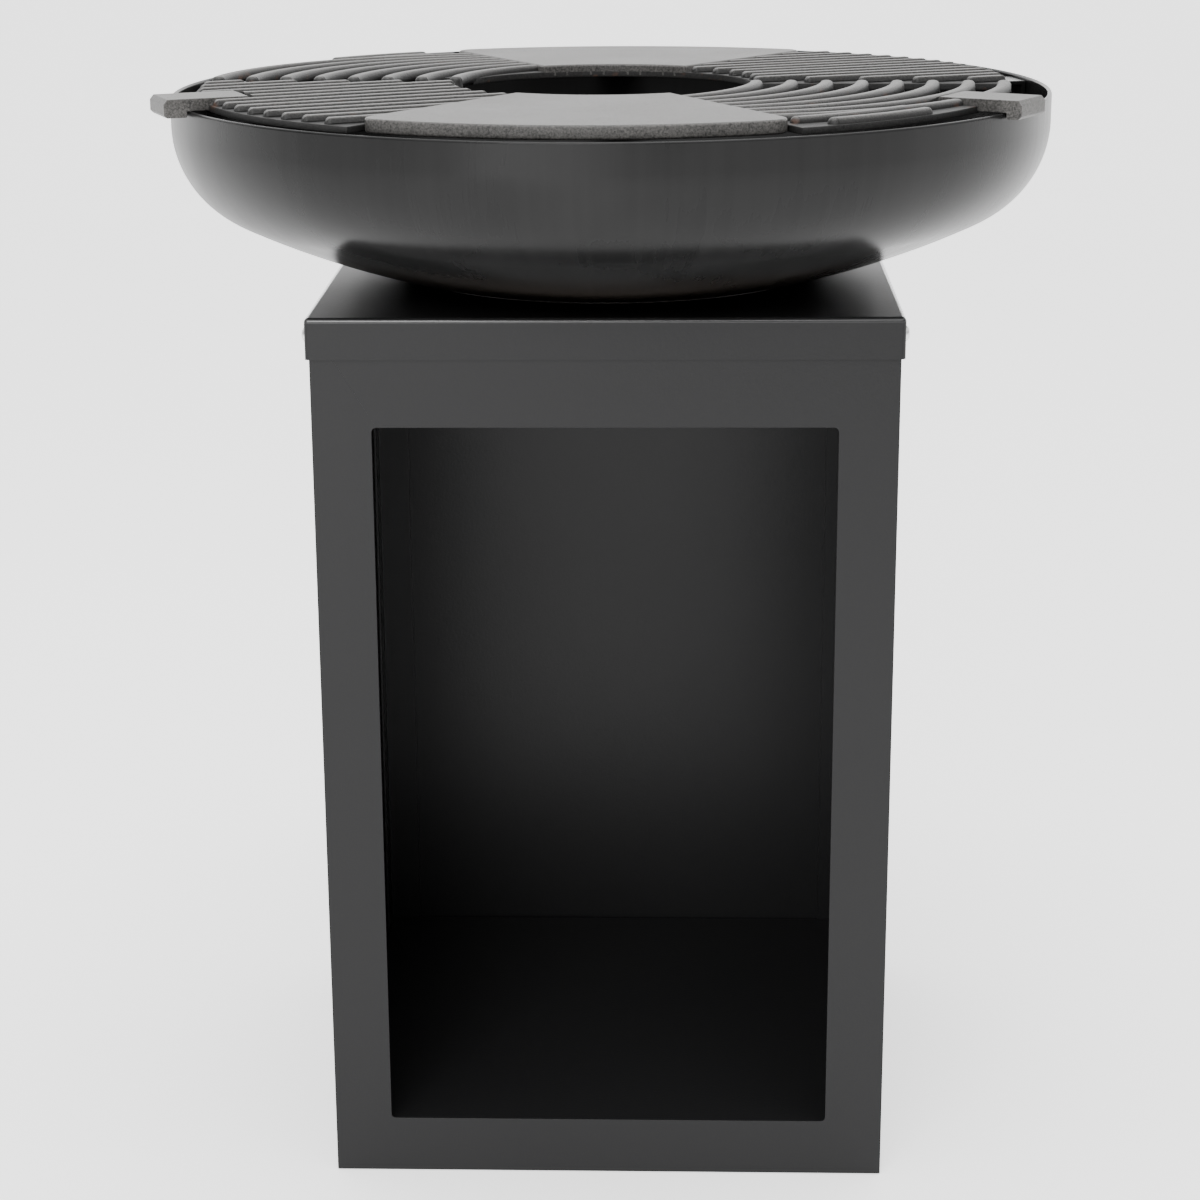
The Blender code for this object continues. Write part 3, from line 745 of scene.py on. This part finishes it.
def handle(name, side):
    """A handle's side view, from its inner end along the top and back under the hook, given its width."""
    hook, low, deep = hook_start(side), HEIGHT - HANDLE_DEPTH, HEIGHT - HOOK_DROP
    outline = [
        (HANDLE_IN, low), (HANDLE_IN + HANDLE_SLOPE, HEIGHT),
        (HANDLE_OUT - 0.0025, HEIGHT), (HANDLE_OUT, HEIGHT - 0.003),
        (HANDLE_OUT, deep + 0.002), (HANDLE_OUT - 0.002, deep),
        (hook + 0.0006, deep), (hook, deep + 0.0006), (hook, low),
    ]

    def build(bm):
        spin = Matrix.Rotation(handle_turn(side), 3, "Z")
        rows = [
            [bm.verts.new(spin @ Vector((a, w * side, h))) for a, h in outline] for w in (0.0, HANDLE_WIDTH)
        ]
        bm.faces.new(rows[0])
        bm.faces.new(rows[1])
        for i in range(len(outline)):
            bm.faces.new((rows[0][i - 1], rows[0][i], rows[1][i], rows[1][i - 1]))

    return soften(mesh_object(name, build), HANDLE_EDGE, 3, 25)


print("hooks begin at", [round(hook_start(side), 4) for side in (-1, 1)])


# %% [markdown]
# ## One casting
# Ridges, bars, web, plate and handles are cast as one lump of iron, so their meshes are joined into one
# piece that rides one body. They overlap, and aren't cut into one skin, because the joins are hidden and
# each part keeps its own clean edges. The back casting is the same shape turned half round, without handles.

# %% Assemble the castings
WEB_EDGE, PLATE_EDGE = 0.0008, 0.0016  # the bevels of the two flat parts


def join(name, pieces):
    bm = bmesh.new()
    for piece in pieces:
        bm.from_mesh(piece.data)
        bpy.data.objects.remove(piece)
    mesh = bpy.data.meshes.new(name)
    bm.to_mesh(mesh)
    bm.free()
    obj = bpy.data.objects.new(name, mesh)
    bpy.context.scene.collection.objects.link(obj)
    return obj


def clear_of_handle(ribs, side):
    """Stops the ribs a little short of the handle, so that its edges show."""
    gap, reach = RIB_CLEAR, (HANDLE_IN - RIB_CLEAR, HANDLE_OUT + 0.01)
    spin = Matrix.Rotation(handle_turn(side), 4, "Z")
    size = Matrix.Diagonal((reach[1] - reach[0], HANDLE_WIDTH + gap, 0.03, 1.0))
    middle = Matrix.Translation((sum(reach) / 2, side * (HANDLE_WIDTH - gap) / 2, BASE + 0.015))
    whole = spin @ middle @ size
    block = mesh_object("block", lambda bm: bmesh.ops.create_cube(bm, size=1.0, matrix=whole))
    trim = ribs.modifiers.new("trim", "BOOLEAN")
    trim.operation, trim.object, trim.use_self = "DIFFERENCE", block, True
    settle(ribs)
    bpy.data.objects.remove(block)


def casting(name, place, with_handles):
    ridges = grow(
        line_object(name + "_ridges", ridge_lines(), False, BASE - SUNK), RIBS, Top_width=RIDGE_TOP,
        Foot_width=RIDGE_FOOT, Height=RIDGE_TALL, Shoulder=RIDGE_ROUND, Material=cast_iron)
    bars = grow(
        line_object(name + "_bars", bar_lines(), True, BAR_LIFT), RIBS, Top_width=BAR_TOP,
        Foot_width=BAR_FOOT, Height=BAR_TALL, Shoulder=BAR_ROUND, Head=button, Material=cast_iron)
    web = soften(slab(name + "_web", web_outline(), 0.0, BASE), WEB_EDGE)
    plate = soften(slab(name + "_plate", plate_outline(), 0.0, HEIGHT), PLATE_EDGE, 3)
    pieces = [ridges, bars, web, plate]
    if with_handles:
        for side, ribs in ((-1, ridges), (1, bars)):
            clear_of_handle(ribs, side)
            pieces.append(handle(f"{name}_handle_{side}", side))
    grooved = sum(len(piece.data.vertices) for piece in (ridges, bars, web))
    whole = join(name, pieces)
    # Each point's height over the web, 0 in a groove and 1 on top; the iron's finish paints shade into the
    # grooves with it. The plate and handles count as top.
    rise_over_web_mark = whole.data.attributes.new("rub", "FLOAT", "POINT")
    for vertex, mark in zip(whole.data.vertices, rise_over_web_mark.data):
        risen_share = (vertex.co.z - BASE) / (HEIGHT - RIB_DROP - BASE)
        mark.value = min(1.0, max(0.0, risen_share)) if vertex.index < grooved else 1.0
    whole.data.transform(place)
    return whole


def button_shape(bm):
    """A bar's round end: a short post whose top edge is rounded like the bar's shoulders."""
    centre = (BAR_TOP / 2 - BAR_ROUND, BAR_TALL - BAR_ROUND)
    shoulder = arc(BAR_ROUND, radians(88), radians(6), centre, 5)
    turn(bm, [(0.0, BAR_TALL), *shoulder, (BAR_FOOT / 2, 0.0), (0.0, 0.0)], 20)


button = mesh_object("bar_end", button_shape)
front_iron = casting("front_grate_iron", FRONT_PLACE, True)
dress(front_iron, cast_iron, "cast_iron", "front_grate", "front_casting", smooth=38)
back_iron = casting("back_grate_iron", BACK_PLACE, False)
dress(back_iron, cast_iron, "cast_iron", "back_grate", "back_casting", smooth=38)
bpy.data.objects.remove(button)

# %% [markdown]
# ## Screws and nuts
# Four dome-headed screws hold the cap, each with a nut inside the store. One screw and one nut are modelled,
# and a tree puts them at four marks and turns each to face outwards.


# %% The screw, the nut and their tree
HEAD_RADIUS, HEAD_RISE = 0.00525, 0.0033
SHANK_RADIUS, SHANK_LENGTH = 0.003, 0.013
NUT_RADIUS, NUT_DEPTH = 0.00577, 0.005  # the radius is out to a corner


def screw_shape(bm):
    """From the floor of the recess in the head, over the dome and down the shank."""
    recess = [(0.0, 0.0012), (0.0018, 0.0012), (0.0020, 0.0029)]
    angles = [radians(62 - 62 * i / 8) for i in range(9)]
    dome = [(HEAD_RADIUS * cos(a), HEAD_RISE * sin(a)) for a in angles]
    under = [(0.0052, -0.0001), (SHANK_RADIUS, -0.0001)]
    shank = [(SHANK_RADIUS, -SHANK_LENGTH), (0.0, -SHANK_LENGTH)]
    turn(bm, recess + dome + under + shank, 24)


def nut_shape(bm):
    bmesh.ops.create_cone(
        bm, cap_ends=True, segments=6, radius1=NUT_RADIUS, radius2=NUT_RADIUS, depth=NUT_DEPTH)
    bmesh.ops.bevel(bm, geom=list(bm.edges), offset=0.0004, segments=2, affect="EDGES")


def fastener_tree():
    tree = bpy.data.node_groups.new("set_fasteners", "GeometryNodeTree")
    for name, kind in (
        ("Marks", "Geometry"), ("Screw", "Object"), ("Nut", "Object"),
        ("Grip", "Float"), ("Material", "Material"),
    ):
        socket(tree, name, kind)
    socket(tree, "Fasteners", "Geometry", "OUTPUT")
    add, link = tree.nodes.new, tree.links.new
    given, out = add("NodeGroupInput"), add("NodeGroupOutput")
    facing = add("GeometryNodeInputNamedAttribute")
    facing.data_type = "FLOAT_VECTOR"
    facing.inputs["Name"].default_value = "facing"
    aim = add("FunctionNodeAlignRotationToVector")
    aim.axis = "Z"
    link(facing.outputs["Attribute"], aim.inputs["Vector"])
    join_all = add("GeometryNodeJoinGeometry")
    for name, back in (("Screw", 0.0), ("Nut", 1.0)):
        info = add("GeometryNodeObjectInfo")
        link(given.outputs[name], info.inputs["Object"])
        scale = add("ShaderNodeMath")
        scale.operation = "MULTIPLY"
        link(given.outputs["Grip"], scale.inputs[0])
        scale.inputs[1].default_value = -back
        drop = add("ShaderNodeVectorMath")
        drop.operation = "SCALE"
        link(facing.outputs["Attribute"], drop.inputs[0])
        link(scale.outputs[0], drop.inputs["Scale"])
        shift = add("GeometryNodeSetPosition")
        link(given.outputs["Marks"], shift.inputs["Geometry"])
        link(drop.outputs[0], shift.inputs["Offset"])
        put = add("GeometryNodeInstanceOnPoints")
        link(shift.outputs[0], put.inputs["Points"])
        link(info.outputs["Geometry"], put.inputs["Instance"])
        link(aim.outputs[0], put.inputs["Rotation"])
        link(put.outputs[0], join_all.inputs[0])
    realize = add("GeometryNodeRealizeInstances")
    link(join_all.outputs[0], realize.inputs[0])
    paint = add("GeometryNodeSetMaterial")
    link(realize.outputs[0], paint.inputs["Geometry"])
    link(given.outputs["Material"], paint.inputs["Material"])
    link(paint.outputs[0], out.inputs[0])
    return tree


# %% [markdown]
# ## Setting the fasteners
# Each screw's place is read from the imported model: a mark is put where its head meets the cap, with an
# attribute that says which way the head faces. The tree's grip is the distance from there back to the
# middle of the nut.


# %% Set the screws and nuts
def marks(bm):
    facing = bm.verts.layers.float_vector.new("facing")
    for end in ("front", "rear"):
        for side, way in (("left", -1.0), ("right", 1.0)):
            low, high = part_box(f"cap_screw_{end}_{side}")
            shoulder = (high.x if way > 0 else low.x) - way * HEAD_RISE
            point = bm.verts.new((shoulder, (low.y + high.y) / 2, (low.z + high.z) / 2))
            point[facing] = (way, 0.0, 0.0)


screw, nut = mesh_object("screw", screw_shape), mesh_object("nut", nut_shape)
nut_low, nut_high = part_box("cap_nut_front_right")
head_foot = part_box("cap_screw_front_right")[1].x - HEAD_RISE
fasteners = grow(
    mesh_object("cap_fasteners", marks), fastener_tree(), Screw=screw, Nut=nut,
    Grip=head_foot - (nut_low.x + nut_high.x) / 2, Material=zinc_plate)
bpy.data.objects.remove(screw)
bpy.data.objects.remove(nut)
names = [
    f"cap_{kind}_{end}_{side}"
    for kind in ("screw", "nut") for end in ("front", "rear") for side in ("left", "right")
]
dress(fasteners, zinc_plate, "zinc_plate", "pedestal", *names)

# %% [markdown]
# ## The floor
# The fire pit stands on a sweep of pale paper, as in a small studio. A real sweep is lit on its own so that it
# looks white right to its edge. Here one large square that glows a little does the same, and it lies half a
# millimetre under the base, so that the two surfaces don't fight.

# %% The floor
FLOOR_HALF, FLOOR_DROP = 30.0, 0.0005


def floor_shape(bm):
    bmesh.ops.create_grid(bm, x_segments=1, y_segments=1, size=FLOOR_HALF)


floor = mesh_object("floor", floor_shape)
paper = Finish("pale_paper", Roughness=0.9, Emission_Strength=1.1)
paper_tone = paper.blend(paper.noise(2.0, 2.0), (0.87, 0.87, 0.87), (0.90, 0.90, 0.90))
floor.data.materials.append(paper.feed(Base_Color=paper_tone, Emission_Color=paper_tone))
floor.location.z = -FLOOR_DROP
floor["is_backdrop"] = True
print("floor", 2 * FLOOR_HALF, "m wide")

# %% [markdown]
# ## The surround
# Black metal shows mostly what it mirrors. A dim room with a bright wall low behind the object draws white
# lines down the sides of the bowl and over the tops of the iron, while the faces towards the viewer stay
# dark. The room also brightens upwards, which lifts everything that faces the ceiling.

# %% The surround
world = bpy.data.worlds.new("studio")
bpy.context.scene.world = world
world.use_nodes = True
sky = Graph(world.node_tree, "Generated")
_, rear, up = sky.parts()
overhead = up.clamp() ** 1.2 * 2.6
behind = ((rear - 0.10) * 1.5).clamp() ** 1.5 * (1.0 - up * 1.3).clamp() * 3.3
strength = overhead + behind + 0.05
background = world.node_tree.nodes["Background"]
world.node_tree.links.new(strength.socket, background.inputs["Strength"])
background.inputs["Color"].default_value = (1.0, 1.0, 1.0, 1.0)
print("surround", len(world.node_tree.nodes), "nodes")

# %% [markdown]
# ## The lamps
# Three large soft lamps finish the light. One hangs over the bowl. A high one in front is caught by the bends
# of the cap, which the bowl shades from above, and a low, wide one to the left lays a pale patch on the
# bowl's side and reaches into the log store.


# %% The lamps
LAMP_AIM = (0, 0, 0.6)


def lamp(name, place, width, height, power):
    data = bpy.data.lights.new(name, "AREA")
    data.shape, data.size, data.size_y, data.energy = "RECTANGLE", width, height, power
    obj = bpy.data.objects.new(name, data)
    bpy.context.scene.collection.objects.link(obj)
    obj.location = place
    obj.rotation_euler = (Vector(LAMP_AIM) - Vector(place)).to_track_quat("-Z", "Y").to_euler()
    print(f"lamp {name}: {width} by {height} m, {power} W")


lamp("overhead", (0.0, -0.25, 2.3), 1.3, 0.5, 20)
lamp("front_high", (-0.7, -3.0, 2.5), 1.6, 1.1, 70)
lamp("front_low", (-1.0, -3.1, 0.45), 1.8, 0.5, 14)

# %% [markdown]
# ## The camera
# The camera stands a little right of the middle and looks slightly down. A long lens keeps the upright edges
# nearly parallel, and a small lens shift frames the object without tipping the camera.

# %% The camera
camera_data = bpy.data.cameras.new("camera")
camera_data.lens, camera_data.sensor_width = 86.9, 36.0
camera_data.shift_x, camera_data.shift_y = 0.0277, 0.0779
camera = bpy.data.objects.new("camera", camera_data)
bpy.context.scene.collection.objects.link(camera)
yaw, pitch, roll = radians(2.251), radians(17.809), radians(-0.518)
tipped = Matrix.Rotation(pi / 2 - pitch, 4, "X")
look = Matrix.Rotation(yaw, 4, "Z") @ tipped @ Matrix.Rotation(roll, 4, "Z")
camera.matrix_world = Matrix.Translation((0.0461, -2.0217, 0.9408)) @ look
bpy.context.scene.camera = camera
print("camera turned", [round(degrees(a), 2) for a in look.to_euler()])

# %% Print the size of the shown object
seen_box = [list(corner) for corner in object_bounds()]
print("visual box", [[round(v, 4) for v in corner] for corner in seen_box])
